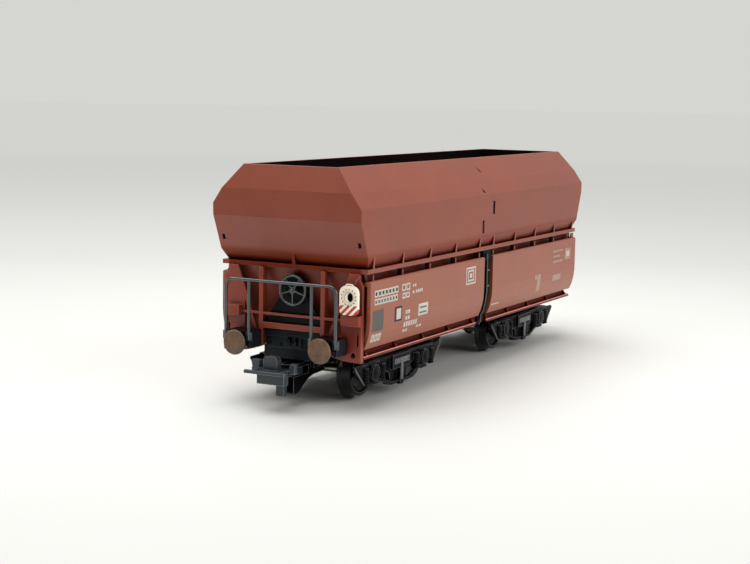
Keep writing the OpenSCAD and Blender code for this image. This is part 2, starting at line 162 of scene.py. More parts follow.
def plastic(name, base, shade, dust, rough=(0.38, 0.52), streak=0.3, spec=0.5, edge_wear_and_highlight=None, edge_wear_and_highlight_amt=0.5,
            radius=0.00012, cdist=0.0022, crevice_shade_tint=(0.45, 0.36, 0.34, 1), inner=None, low=False, flank_shade=None, lip_highlight=None, top=None):
    """moulded and painted plastic: mottled pigment, faint vertical streaks, fine grain, lighter edges that are partly
    wear and partly painted highlight, painted shade in the corners
    """
    m, nt, b, co = new_mat(name)
    o = co.outputs["Object"]
    big = noise(nt, o, 55, 5, 0.6)
    st = noise(nt, mapping(nt, o, (420, 420, 28)), 1.0, 4, 0.6)
    fine = noise(nt, o, 2600, 3, 0.7)
    c = ramp(nt, big, [(0.30, shade), (0.55, base), (0.75, base)])
    c = mixc(nt, ramp(nt, st, [(0.45, grey(0)), (0.85, grey(streak))]), c, dust)
    c = mixc(nt, 1.0, c, ramp(nt, fine, [(0.35, grey(0.94)), (0.65, grey(1.05))]), "MULTIPLY")
    em, g = relief(nt, b, fine, 0.25, 0.00004, radius)
    # lighter edges from the bevel mask: partly edge wear, partly painted highlight
    if edge_wear_and_highlight:
        c = mixc(nt, ramp(nt, em, [(0.02, grey(0)), (0.16, grey(edge_wear_and_highlight_amt))]), c, edge_wear_and_highlight)
    # painted shade in corners and recesses
    c = crevice_shade(nt, c, cdist, crevice_shade_tint)
    if top:
        # the plate above the beam is coloured nearly black
        tz = nt.nodes.new("ShaderNodeSeparateXYZ")
        nt.links.new(o, tz.inputs[0])
        c = mixc(nt, math_n(nt, "GREATER_THAN", tz.outputs["Z"], top), c, mixc(nt, 1.0, c, (0.2, 0.18, 0.17, 1), "MULTIPLY"))
    if flank_shade:
        # painted shade on the flanks of the ribs and lugs that face along the wagon, between the wagon's ends
        pn, pp = nt.nodes.new("ShaderNodeSeparateXYZ"), nt.nodes.new("ShaderNodeSeparateXYZ")
        nt.links.new(g.outputs["True Normal"], pn.inputs[0])
        nt.links.new(o, pp.inputs[0])
        m1 = math_n(nt, "GREATER_THAN", math_n(nt, "ABSOLUTE", pn.outputs["X"]), 0.7)
        m2 = math_n(nt, "LESS_THAN", math_n(nt, "ABSOLUTE", pp.outputs["X"]), 0.0575)
        c = mixc(nt, math_n(nt, "MULTIPLY", m1, m2), c, mixc(nt, 1.0, c, (*flank_shade, 1), "MULTIPLY"))
        # the recessed strips behind the face are matt and carry painted shade
        face = math_n(nt, "GREATER_THAN", math_n(nt, "ABSOLUTE", pp.outputs["Y"]), 0.0158)
        c = mixc(nt, face, mixc(nt, 1.0, c, (0.72, 0.58, 0.52, 1), "MULTIPLY"), c)
        plug(nt, b.inputs["Specular IOR Level"], math_n(nt, "MULTIPLY_ADD", face, spec * 0.8, spec * 0.2))
        if lip_highlight:
            # painted highlight line along the outer edge of the ledge
            m3 = math_n(nt, "GREATER_THAN", math_n(nt, "ABSOLUTE", pp.outputs["Y"]), 0.01612)
            m4 = math_n(nt, "GREATER_THAN", pp.outputs["Z"], 0.01134)
            m5 = math_n(nt, "LESS_THAN", pp.outputs["Z"], 0.01155)
            c = mixc(nt, math_n(nt, "MULTIPLY", m3, math_n(nt, "MULTIPLY", m4, m5)), c, lip_highlight)
    if low:
        # painted shade on the foot of the hopper above the rail, which is also less shiny
        sp = nt.nodes.new("ShaderNodeSeparateXYZ")
        nt.links.new(o, sp.inputs[0])
        zz = math_n(nt, "MULTIPLY", math_n(nt, "SUBTRACT", sp.outputs["Z"], 0.0290), 1 / 0.006)
        c = mixc(nt, 1.0, c, ramp(nt, zz, [(0.04, (0.42, 0.28, 0.24, 1)), (0.3, (0.8, 0.66, 0.6, 1)), (0.55, (0.98, 0.93, 0.9, 1)), (0.9, grey(1))]), "MULTIPLY")
        plug(nt, b.inputs["Specular IOR Level"], ramp(nt, zz, [(0.1, grey(spec * 0.1)), (0.42, grey(spec * 0.3)), (0.62, grey(spec))]))
    if inner:
        # walls that face the load space are coloured near black
        sg = nt.nodes.new("ShaderNodeVectorMath"); sg.operation = "SIGN"
        nt.links.new(o, sg.inputs[0])
        flat = nt.nodes.new("ShaderNodeVectorMath"); flat.operation = "MULTIPLY"
        nt.links.new(sg.outputs[0], flat.inputs[0])
        flat.inputs[1].default_value = (1, 1, 0)
        d = vdot(nt, g.outputs["True Normal"], flat.outputs[0])
        c = mixc(nt, math_n(nt, "LESS_THAN", d, -0.05), c, inner)
    nt.links.new(c, b.inputs["Base Color"])
    rough_map(nt, b, big, *rough)
    if not low and not flank_shade:
        b.inputs["Specular IOR Level"].default_value = spec
    return m


RAIL = plastic("oxide_red_rail", srgb(142, 60, 34), srgb(130, 52, 29), srgb(152, 78, 54), (0.32, 0.46), spec=0.5,
               edge_wear_and_highlight=srgb(214, 132, 104), edge_wear_and_highlight_amt=0.6, radius=0.0002, cdist=0.003, crevice_shade_tint=(0.2, 0.1, 0.09, 1), flank_shade=(0.3, 0.17, 0.16))
RED = plastic("oxide_red", srgb(146, 56, 34), srgb(134, 48, 28), srgb(156, 78, 54), (0.32, 0.46), spec=0.5,
              edge_wear_and_highlight=srgb(214, 126, 98), edge_wear_and_highlight_amt=0.65, radius=0.0002, cdist=0.0042, crevice_shade_tint=(0.2, 0.1, 0.09, 1))
# lighter copy of the red: painted reflection of the bright floor on the upright flaps
FLAP = plastic("oxide_red_flap", srgb(153, 76, 42), srgb(144, 68, 37), srgb(162, 92, 62), (0.34, 0.46), spec=0.85,
               edge_wear_and_highlight=srgb(216, 136, 108), edge_wear_and_highlight_amt=0.55, radius=0.0002, crevice_shade_tint=(0.3, 0.19, 0.17, 1))
HOP = plastic("oxide_red_hopper", srgb(139, 59, 31), srgb(129, 51, 27), srgb(149, 76, 50), (0.34, 0.48), streak=0.2, spec=0.62,
              edge_wear_and_highlight=srgb(160, 88, 66), edge_wear_and_highlight_amt=0.5, cdist=0.0035, crevice_shade_tint=(0.3, 0.2, 0.18, 1), inner=srgb(26, 15, 14), low=True)
# darker red: painted shade on the chutes and ledges, which are body colour in shadow; the lamp's box and dashes use it
# too
DRED = plastic("oxide_red_shade", srgb(118, 40, 25), srgb(98, 30, 19), srgb(130, 54, 38), spec=0.2, edge_wear_and_highlight=srgb(232, 160, 138),
               edge_wear_and_highlight_amt=0.12, radius=0.00012, crevice_shade_tint=(0.22, 0.12, 0.1, 1), flank_shade=(0.4, 0.26, 0.24), lip_highlight=srgb(226, 158, 136))
BLACK = plastic("black_plastic", srgb(6, 7, 8), srgb(4, 4, 5), srgb(14, 15, 17), (0.3, 0.46), 0.3, spec=0.03,
                edge_wear_and_highlight=srgb(96, 102, 104), edge_wear_and_highlight_amt=0.55, radius=0.00018, crevice_shade_tint=(0.15, 0.15, 0.15, 1))
BEAM = plastic("beam_black", srgb(30, 37, 43), srgb(18, 23, 27), srgb(52, 60, 65), (0.26, 0.42), 0.4, spec=0.12,
               edge_wear_and_highlight=srgb(112, 122, 126), edge_wear_and_highlight_amt=0.6, radius=0.00018, crevice_shade_tint=(0.12, 0.12, 0.12, 1), top=0.0152)
BOGIE = plastic("bogie_black", srgb(8, 9, 11), srgb(5, 5, 7), srgb(24, 26, 28), (0.26, 0.42), 0.3, spec=0.05,
                edge_wear_and_highlight=srgb(184, 192, 196), edge_wear_and_highlight_amt=0.85, radius=0.00015, crevice_shade_tint=(0.04, 0.04, 0.04, 1))
SPRING = plastic("spring_black", srgb(11, 12, 14), srgb(6, 6, 8), srgb(30, 32, 33), (0.2, 0.34), 0.25, spec=0.14,
                 crevice_shade_tint=(0.04, 0.04, 0.04, 1))
PLATE = plastic("bogie_plate", srgb(92, 96, 98), srgb(58, 61, 63), srgb(126, 128, 126), (0.3, 0.5), 0.5,
                edge_wear_and_highlight=srgb(176, 176, 170), edge_wear_and_highlight_amt=0.6, crevice_shade_tint=(0.15, 0.15, 0.15, 1))
GREY = plastic("wire_grey", srgb(52, 60, 62), srgb(36, 43, 45), srgb(88, 97, 96), (0.14, 0.28), 0.4, spec=1.0)
CPL = plastic("coupler_grey", srgb(44, 52, 59), srgb(29, 35, 41), srgb(82, 94, 99), (0.24, 0.4), 0.4, spec=0.5,
              edge_wear_and_highlight=srgb(168, 180, 184), edge_wear_and_highlight_amt=0.75, radius=0.0002, crevice_shade_tint=(0.16, 0.16, 0.16, 1))
CREAM = plastic("lamp_cream", srgb(250, 236, 214), srgb(236, 220, 196), srgb(252, 246, 232), (0.4, 0.6), 0.3,
                crevice_shade_tint=(0.7, 0.64, 0.56, 1))
# darker cream for the socket's inner face: painted shade
DISH_SHADE = plastic("lamp_dish_shade", srgb(176, 166, 140), srgb(150, 142, 118), srgb(200, 192, 168), (0.3, 0.5), 0.3)
WHITE = plastic("marking_white", srgb(206, 200, 190), srgb(186, 180, 170), srgb(218, 214, 206), (0.45, 0.6), 0.3)
PALE = plastic("marking_grey", srgb(90, 90, 88), srgb(80, 80, 79), srgb(104, 104, 100), (0.45, 0.6), 0.3, spec=0.3)
DARKM = plastic("marking_dark", srgb(46, 38, 38), srgb(38, 32, 32), srgb(66, 56, 54), (0.45, 0.6), 0.3, spec=0.3)
FADED = plastic("marking_faded", srgb(180, 146, 130), srgb(168, 132, 116), srgb(194, 164, 150), (0.45, 0.6), 0.3)


def metal(name, base, rough):
    m, nt, b, co = new_mat(name)
    o = co.outputs["Object"]
    n = noise(nt, mapping(nt, o, (1500, 120, 1500)), 1.0, 4, 0.6)
    c = ramp(nt, n, [(0.3, tuple(x * 0.7 for x in base[:3])), (0.7, base)])
    nt.links.new(c, b.inputs["Base Color"])
    b.inputs["Metallic"].default_value = 1.0
    rough_map(nt, b, n, rough * 0.8, rough * 1.3)
    relief(nt, b, n, 0.15, 0.00003, 0.0001)
    return m


STEEL = metal("axle_steel", srgb(206, 200, 190), 0.28)
WHEEL = plastic("wheel_black", srgb(12, 12, 14), srgb(7, 7, 9), srgb(32, 32, 31), (0.18, 0.34), 0.35, spec=0.25,
                edge_wear_and_highlight=srgb(120, 120, 116), edge_wear_and_highlight_amt=0.5, crevice_shade_tint=(0.15, 0.15, 0.15, 1))


def disc_mat():
    """buffer faces: brown patina, mottled between greyer and warmer brown"""
    m, nt, b, co = new_mat("buffer_brown")
    o = co.outputs["Object"]
    big = noise(nt, o, 420, 5, 0.65)
    fine = noise(nt, o, 2400, 4, 0.7)
    c = ramp(nt, big, [(0.34, srgb(82, 71, 62)), (0.5, srgb(110, 86, 66)), (0.68, srgb(134, 93, 60))])
    c = mixc(nt, 1.0, c, ramp(nt, fine, [(0.35, grey(0.82)), (0.65, grey(1.14))]), "MULTIPLY")
    em, g = relief(nt, b, fine, 0.3, 0.00005, 0.0002)
    # lighter rim edges: partly wear, partly painted highlight
    c = mixc(nt, ramp(nt, em, [(0.02, grey(0)), (0.15, grey(0.8))]), c, srgb(186, 168, 150))
    # painted shade in the hollows of the buffer
    c = crevice_shade(nt, c, 0.002, (0.3, 0.28, 0.26, 1))
    nt.links.new(c, b.inputs["Base Color"])
    rough_map(nt, b, fine, 0.35, 0.6)
    b.inputs["Metallic"].default_value = 0.25
    return m


DISC = disc_mat()


def lamp_mat(cy, cz):
    """cream board; the lower third carries slanted red bands"""
    m, nt, b, co = new_mat("lamp_board")
    o = co.outputs["Object"]
    sp = nt.nodes.new("ShaderNodeSeparateXYZ")
    nt.links.new(o, sp.inputs[0])
    y = math_n(nt, "SUBTRACT", sp.outputs["Y"], cy)
    z = math_n(nt, "SUBTRACT", sp.outputs["Z"], cz)
    fine = noise(nt, o, 1800, 3, 0.6)
    big = noise(nt, o, 260, 4, 0.6)
    base = ramp(nt, big, [(0.3, srgb(244, 228, 206)), (0.6, srgb(254, 246, 230))])
    # bands rise from left to right in the end view
    ph = math_n(nt, "MULTIPLY", math_n(nt, "ADD", z, y), 1.0 / 0.0015)
    band = math_n(nt, "LESS_THAN", math_n(nt, "FRACT", ph), 0.5)
    low = math_n(nt, "LESS_THAN", z, -0.00095)
    c = mixc(nt, math_n(nt, "MULTIPLY", band, low), base, srgb(192, 62, 50))
    c = mixc(nt, 1.0, c, ramp(nt, fine, [(0.35, grey(0.93)), (0.65, grey(1.04))]), "MULTIPLY")
    relief(nt, b, fine, 0.2, 0.00003, 0.0002)
    # painted shade in the recesses of the board
    c = crevice_shade(nt, c, 0.0009, (0.6, 0.5, 0.42, 1))
    nt.links.new(c, b.inputs["Base Color"])
    # faint emission of the board's own colour: painted glow
    nt.links.new(c, b.inputs["Emission Color"])
    b.inputs["Emission Strength"].default_value = 0.14
    rough_map(nt, b, fine, 0.4, 0.6)
    return m


LAMP = lamp_mat(-14.1 * MM, 23.1 * MM)

MATS = {"red_plastic": RED, "dark_red_plastic": DRED, "black_plastic": BLACK, "grey_metal": GREY,
        "lamp_board": CREAM, "brown_metal": DISC, "wheel_metal": WHEEL, "axle_steel": STEEL}
for sp in frame["record"]["subparts"]:
    o = N[sp["node"]]
    m = MATS[sp["material_slot"]]
    if sp["node"].startswith("coupler"):
        m = CPL
    if sp["node"].startswith("bogie"):
        m = BOGIE
    if sp["node"] == "upper_hopper":
        m = HOP
    if sp["node"].startswith("flap"):
        m = FLAP
    if sp["node"].startswith("chute"):
        m = DRED
    if sp["node"] == "waist_rail":
        m = RAIL
    if sp["node"].startswith("headstock") or sp["node"].startswith("centre_sill"):
        m = BEAM
    if not o.material_slots:
        o.data.materials.append(m)
    for s in o.material_slots:
        s.material = m


# ----------------------------------------------------------------- mesh tools
class Shape:
    """one piece, built in millimetres from several closed forms"""

    def __init__(self):
        self.bm = bmesh.new()

    def face(self, vs, mi=0):
        f = self.bm.faces.new(vs)
        f.material_index = mi
        return f

    def merge(self, other, mi):
        vm = {v: self.bm.verts.new(v.co) for v in other.verts}
        for f in other.faces:
            self.face([vm[v] for v in f.verts], mi)
        other.free()

    def box(self, lo, hi, bev=0.1, mi=0, seg=2, mat=None):
        b = bmesh.new()
        bmesh.ops.create_cube(b, size=1.0)
        for v in b.verts:
            v.co = Vector([lo[i] + (v.co[i] + 0.5) * (hi[i] - lo[i]) for i in range(3)])
        if bev > 0:
            bmesh.ops.bevel(b, geom=b.edges[:], offset=bev, segments=seg, affect="EDGES", profile=0.5)
        if mat:
            bmesh.ops.transform(b, matrix=mat, verts=b.verts)
        self.merge(b, mi)

    def prism(self, pts, axis, a0, a1, bev=0.08, mi=0):
        """flat outline pushed along one axis; pts are the other two coordinates in order"""
        b = bmesh.new()
        def at(p, a):
            q = list(p)
            q.insert(axis, a)
            return b.verts.new(q)
        lo = [at(p, a0) for p in pts]
        hi = [at(p, a1) for p in pts]
        b.faces.new(lo)
        b.faces.new(hi[::-1])
        for i in range(len(pts)):
            j = (i + 1) % len(pts)
            b.faces.new((lo[j], lo[i], hi[i], hi[j]))
        bmesh.ops.recalc_face_normals(b, faces=b.faces)
        if bev > 0:
            bmesh.ops.bevel(b, geom=b.edges[:], offset=bev, segments=2, affect="EDGES", profile=0.5)
        self.merge(b, mi)

    def lathe(self, prof, org, ax, n=48, mi=0):
        """closed profile of (radius, distance) turned round a line"""
        ax = Vector(ax).normalized()
        u = ax.orthogonal().normalized()
        w = ax.cross(u)
        rings = []
        for r, d in prof:
            c = Vector(org) + ax * d
            if r < 1e-6:
                rings.append([self.bm.verts.new(c)])
            else:
                rings.append([self.bm.verts.new(c + (u * math.cos(t) + w * math.sin(t)) * r)
                              for t in (2 * math.pi * i / n for i in range(n))])
        closed = prof[0][0] > 1e-6 and prof[-1][0] > 1e-6
        pairs = list(zip(rings, rings[1:])) + ([(rings[-1], rings[0])] if closed else [])
        for a, b in pairs:
            for i in range(n):
                j = (i + 1) % n
                if len(a) == 1 and len(b) == 1:
                    continue
                if len(a) == 1:
                    self.face((a[0], b[j], b[i]), mi)
                elif len(b) == 1:
                    self.face((a[i], a[j], b[0]), mi)
                else:
                    self.face((a[i], a[j], b[j], b[i]), mi)

    def tube(self, path, r, n=12, mi=0, loop=False):
        pts = [Vector(p) for p in path]
        m = len(pts)
        rr = r if isinstance(r, (list, tuple)) else [r] * m
        tans = []
        for i in range(m):
            a = pts[i - 1] if (i > 0 or loop) else pts[i]
            b = pts[(i + 1) % m] if (i < m - 1 or loop) else pts[i]
            tans.append((b - a).normalized())
        u = tans[0].orthogonal().normalized()
        rings = []
        for i, p in enumerate(pts):
            u = (u - tans[i] * u.dot(tans[i])).normalized()
            w = tans[i].cross(u)
            rings.append([self.bm.verts.new(p + (u * math.cos(t) + w * math.sin(t)) * rr[i])
                          for t in (2 * math.pi * k / n for k in range(n))])
        for a, b in list(zip(rings, rings[1:])) + ([(rings[-1], rings[0])] if loop else []):
            for i in range(n):
                j = (i + 1) % n
                self.face((a[i], a[j], b[j], b[i]), mi)
        if not loop:
            self.face(rings[0][::-1], mi)
            self.face(rings[-1], mi)

    def dome(self, p, d, r, h, mi=0, n=10):
        self.lathe([(0, h), (r * 0.5, h * 0.86), (r * 0.86, h * 0.5), (r, 0.0), (r, -0.05), (0, -0.05)], p, d, n, mi)

    def done(self, name, mats, body, replaces=(), slot=None, sharp=35):
        bmesh.ops.recalc_face_normals(self.bm, faces=self.bm.faces)
        for v in self.bm.verts:
            v.co *= MM
        me = bpy.data.meshes.new(name)
        self.bm.to_mesh(me)
        self.bm.free()
        for m in mats:
            me.materials.append(m)
        for p in me.polygons:
            p.use_smooth = True
        me.set_sharp_from_angle(angle=math.radians(sharp))
        o = bpy.data.objects.new(name, me)
        bpy.context.collection.objects.link(o)
        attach(o, body)
        if replaces:
            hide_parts(*replaces)
        return o


ENDS = (("brake", -1), ("plain", 1))
SIDES = (("right", -1), ("left", 1))

# --------------------------------------------------------- markings, all blank
FLAP_Y = 17.7
PROFILE = [(27.0, 0.0), (18.8, 0.0), (17.2, 0.1), (15.7, 0.35), (14.3, 0.75), (12.95, 1.35)]


def flap_in(z):
    for (z1, d1), (z0, d0) in zip(PROFILE, PROFILE[1:]):
        if z >= z0:
            return d1 + (z1 - z) / (z1 - z0) * (d0 - d1)
    return PROFILE[-1][1]


def patch(s, x0, z1, x1, z0, mi, lift=0.03):
    """thin blank patch that follows the flap's face"""
    zs = [z1] + [z for z, _ in PROFILE if z0 < z < z1] + [z0]
    rows = []
    for dz in (lift, -0.02):
        rows.append([[s.bm.verts.new((x, -FLAP_Y + flap_in(z) - dz, z)) for x in (x0, x1)] for z in zs])
    f, b = rows
    for a, c in zip(f, f[1:]):
        s.face((a[0], a[1], c[1], c[0]), mi)
    for a, c in zip(b, b[1:]):
        s.face((a[0], c[0], c[1], a[1]), mi)
    for k in range(len(zs) - 1):
        s.face((f[k][0], f[k + 1][0], b[k + 1][0], b[k][0]), mi)
        s.face((f[k][1], b[k][1], b[k + 1][1], f[k + 1][1]), mi)
    s.face((f[0][0], b[0][0], b[0][1], f[0][1]), mi)
    s.face((f[-1][0], f[-1][1], b[-1][1], b[-1][0]), mi)


def outline(s, x0, z1, x1, z0, w, mi):
    patch(s, x0, z1, x1, z1 - w, mi)
    patch(s, x0, z0 + w, x1, z0, mi)
    patch(s, x0, z1 - w - 0.002, x0 + w, z0 + w + 0.002, mi)
    patch(s, x1 - w, z1 - w - 0.002, x1, z0 + w + 0.002, mi)


def dashes(s, x0, z1, x1, z0, n, mi, gap=0.3):
    """row of blank blocks"""
    p = (x1 - x0) / n
    for i in range(n):
        patch(s, x0 + i * p, z1, x0 + i * p + p * (1 - gap), z0, mi)


def cells(s, x0, z1, x1, z0, n, w, mi):
    p = (x1 - x0) / n
    for i in range(n):
        outline(s, x0 + i * p + 0.12, z1, x0 + (i + 1) * p - 0.12, z0, w, mi)


def marks_near():
    s = Shape()
    # two rows of blank cells with dark centres
    for z1, z0, n, x0, x1 in ((24.9, 23.5, 7, -57.0, -46.4), (23.2, 21.9, 8, -57.0, -46.6)):
        p = (x1 - x0) / n
        for i in range(n):
            a = x0 + i * p
            patch(s, a + 0.06, z1, a + p - 0.06, z0, 0)
            patch(s, a + 0.38, z1 - 0.34, a + p - 0.38, z0 + 0.34, 2, 0.05)
    cells(s, -44.8, 25.0, -40.8, 23.5, 2, 0.34, 0)
    cells(s, -44.6, 23.1, -41.0, 21.9, 2, 0.34, 0)
    dashes(s, -39.6, 24.5, -37.8, 23.9, 2, 0)
    patch(s, -39.7, 23.1, -38.9, 22.5, 0)
    dashes(s, -38.2, 23.2, -34.6, 22.5, 4, 0)
    # grey field
    patch(s, -57.6, 20.8, -52.9, 16.5, 1)
    cells(s, -57.5, 15.9, -53.1, 14.3, 3, 0.42, 0)
    # small label with a dark edge
    patch(s, -47.8, 20.5, -44.5, 17.4, 2)
    patch(s, -47.1, 20.1, -45.0, 17.8, 0, 0.05)
    dashes(s, -42.8, 19.3, -40.4, 18.5, 2, 0)
    dashes(s, -42.8, 18.0, -40.4, 17.2, 2, 0)
    dashes(s, -43.2, 16.8, -36.6, 15.7, 6, 0)
    dashes(s, -43.0, 15.2, -40.6, 14.6, 2, 0)
    dashes(s, -36.8, 15.4, -33.9, 14.8, 2, 0)
    # blank label
    patch(s, -36.7, 19.9, -32.0, 17.3, 0)
    patch(s, -36.0, 19.2, -32.7, 18.9, 1, 0.05)
    patch(s, -36.0, 18.1, -32.7, 17.8, 1, 0.05)
    # empty double frame
    outline(s, -12.2, 25.3, -6.9, 21.3, 0.42, 0)
    outline(s, -11.2, 24.6, -7.9, 22.0, 0.4, 0)
    patch(s, -10.2, 23.8, -8.9, 22.8, 0)
    return s


def marks_far():
    s = Shape()
    dashes(s, 42.5, 24.6, 49.6, 24.1, 3, 3, 0.08)
    dashes(s, 42.5, 23.2, 47.6, 22.7, 2, 3, 0.08)
    dashes(s, 42.5, 21.9, 49.6, 21.3, 3, 3, 0.08)
    patch(s, 51.2, 24.5, 55.2, 21.5, 3)
    patch(s, 52.2, 23.7, 54.4, 22.3, 0, 0.05)
    patch(s, 42.7, 18.2, 48.5, 16.6, 3)
    # plain upright bar
    patch(s, 30.2, 19.4, 32.2, 18.2, 3)
    patch(s, 31.9, 19.4, 34.2, 15.0, 3)
    patch(s, 3.8, 15.1, 8.4, 14.8, 0)
    return s


HALF_TURN = Matrix.Rotation(math.pi, 4, "Z")
for fn, near, far in ((marks_near, "flap_brake_right", "flap_plain_left"), (marks_far, "flap_plain_right", "flap_brake_left")):
    fn().done("markings_" + near, [WHITE, PALE, DARKM, FADED], near, slot="red_plastic")
    s = fn()
    bmesh.ops.transform(s.bm, matrix=HALF_TURN, verts=s.bm.verts)
    s.done("markings_" + far, [WHITE, PALE, DARKM, FADED], far, slot="red_plastic")

# ------------------------------------------------- hinge lugs on the flap tops
STATIONS = [4 + 13.2 * i for i in range(5)]
for en, sx in ENDS:
    for sn, sy in SIDES:
        s = Shape()
        for x in STATIONS:
            # the outermost one is shallower, so that it misses the sloping end wall
            yi = 17.0 if x > 50 else 16.1
            pts = [(sy * 17.25, 26.8), (sy * 17.3, 27.95), (sy * 17.1, 28.12), (sy * yi, 28.12), (sy * (yi - 0.1), 26.8 if x > 50 else 26.6)]
            x0, x1 = sorted((sx * (x - 0.25), sx * (x + (1.5 if x > 50 and en == "plain" else 0.25))))
            s.prism(pts, 0, x0, x1, 0.05)
            s.dome((sx * (x + 0.3), sy * 17.3, 26.85), (0, sy, 0), 0.3, 0.22, 0, 8)
        s.done("hinge_lugs_%s_%s" % (en, sn), [RAIL], "flap_%s_%s" % (en, sn), slot="red_plastic")

# ------------------------------------------------------------------- buffers
for en, sx in ENDS:
    for sn, sy in SIDES:
        s = Shape()
        prof = [(0, 0.02), (1.2, 0.0), (2.1, 0.06), (2.48, 0.14), (2.6, 0.28), (2.6, 0.5), (2.5, 0.62), (1.9, 0.72),
                (1.15, 0.84), (0.93, 1.05), (0.93, 4.88), (0, 4.88)]
        s.lathe(prof, (sx * 66.2, sy * 10.06, 13.1), (-sx, 0, 0), 64)
        s.lathe([(0.99, 1.5), (1.25, 1.55), (1.3, 1.7), (1.25, 1.85), (0.99, 1.9)], (sx * 66.2, sy * 10.06, 13.1), (-sx, 0, 0), 40)
        s.done("buffer_head_%s_%s" % (en, sn), [DISC], "wagon", ["buffer_%s_%s" % (en, sn)], "brown_metal", 30)

# ---------------------------------------------------------------- brake wheel
s = Shape()
bc = Vector((-60.6, -0.6, 24.1))
s.tube([bc + Vector((0, math.cos(t), math.sin(t))) * 3.0 for t in (2 * math.pi * i / 72 for i in range(72))], 0.26, 12, loop=True)
for i in range(5):
    t = math.radians(90 + 36 + 72 * i)
    d = Vector((0, math.cos(t), math.sin(t)))
    s.tube([bc + d * 0.45, bc + d * 1.2, bc + d * 2.9], [0.24, 0.19, 0.15], 8)
s.lathe([(0, -0.62), (0.3, -0.62), (0.42, -0.5), (0.42, -0.36), (0.68, -0.28), (0.72, -0.1), (0.72, 0.4), (0.42, 0.5), (0.4, 1.6), (0, 1.6)],
        bc, (1, 0, 0), 32)
s.done("hand_wheel", [GREY], "wagon", ["brake_wheel"], "grey_metal", 40)

# ------------------------------------------------------------------ tail lamp
s = Shape()
lc = (-61.4, -14.1, 23.1)
half = []
for cx, cz in ((1, 1), (-1, 1), (-1, -1), (1, -1)):
    rr = 1.45 if cz > 0 else 1.1
    for k in range(7):
        t = math.radians((0 if (cx, cz) == (1, 1) else 90 if (cx, cz) == (-1, 1) else 180 if (cx, cz) == (-1, -1) else 270) + 15 * k)
        half.append((lc[1] + cx * (2.15 - rr) + rr * math.cos(t), lc[2] + cz * (3.0 - rr) + rr * math.sin(t)))
s.prism(half, 0, lc[0] + 0.04, lc[0] + 0.8, 0.12, 0)
# strap that holds the board, seen above it
s.tube([(lc[0] + 0.9, lc[1] - 0.5, lc[2] + 2.8), (lc[0] + 1.0, lc[1] - 1.2, lc[2] + 3.9), (lc[0] + 1.3, lc[1] - 1.9, lc[2] + 5.0)], 0.13, 8, 6)
s.box((lc[0] + 0.75, lc[1] - 0.5, lc[2] - 0.5), (lc[0] + 1.4, lc[1] + 0.5, lc[2] + 0.5), 0.1, 1)
lamp = (lc[0] + 0.04, lc[1] - 0.05, lc[2] + 0.7)
# dished socket with a raised lip, the dark hole sits off centre in it
# the flat inner face takes the darker cream of painted shade
s.lathe([(0.0, 0.03), (0.75, 0.03), (1.02, -0.02)], lamp, (1, 0, 0), 40, 5)
s.lathe([(1.0, 0.05), (1.02, -0.02), (1.22, -0.16), (1.4, -0.2), (1.52, -0.12), (1.56, 0.05)], lamp, (1, 0, 0), 40, 4)
# the hole is a flat black disc laid on the socket: painted shade of the hole
hole = []
for i in range(24):
    t = 2 * math.pi * i / 24
    hole.append((lamp[1] - 0.32 + 0.58 * math.cos(t), lamp[2] + 0.02 + 0.88 * math.sin(t)))
s.prism(hole, 0, lamp[0] - 0.05, lamp[0] + 0.04, 0, 2)
for i in range(14):
    t = 2 * math.pi * (i + 0.5) / 14
    d = Vector((0, math.cos(t), math.sin(t)))
    p = Vector(lamp) + d * 1.72 - Vector((0.0, 0, 0))
    q = p + Vector((0, -math.sin(t + 0.7), math.cos(t + 0.7))) * 0.36
    s.tube([p, q], 0.085, 6, 3)
# loop handle on top
s.tube([(lc[0] + 0.4, lc[1] + 0.9, lc[2] + 2.9), (lc[0] + 0.4, lc[1] + 0.6, lc[2] + 3.25), (lc[0] + 0.4, lc[1] - 0.6, lc[2] + 3.25),
        (lc[0] + 0.4, lc[1] - 0.9, lc[2] + 2.9)], 0.16, 8, 0)
s.done("lamp_plate", [LAMP, DRED, BLACK, DRED, CREAM, DISH_SHADE, RED], "wagon", ["tail_lamp"], "lamp_board", 40)

# --------------------------------------------------------------------- wheels
WX = (-47.1, -23.3, 23.3, 47.1)
AZ = 6.2
for k, x in enumerate(WX):
    for sn, sy in SIDES:
        s = Shape()
        prof = [(0.9, 6.6), (1.55, 6.6), (1.75, 6.75), (1.85, 7.3), (2.4, 7.62), (3.7, 7.66), (4.2, 7.45), (4.4, 7.05), (4.6, 7.0),
                (5.95, 7.0), (6.12, 7.06), (6.2, 7.2), (6.2, 7.34), (6.1, 7.5), (5.75, 7.7), (5.48, 7.84), (5.38, 8.0), (5.3, 9.5),
                (5.2, 9.74), (5.02, 9.8), (4.7, 9.8), (4.52, 9.72), (4.42, 9.3), (4.0, 8.95), (3.0, 8.72), (2.2, 8.9), (1.9, 9.1),
                (1.8, 9.9), (1.65, 10.08), (0.9, 10.08)]
        s.lathe(prof, (x, 0, AZ), (0, sy, 0), 96)
        s.done("wheel_disc_%d_%s" % (k + 1, sn), [WHEEL], "wheelset_%d" % (k + 1), ["wheel_%d_%s" % (k + 1, sn)], "wheel_metal", 32)

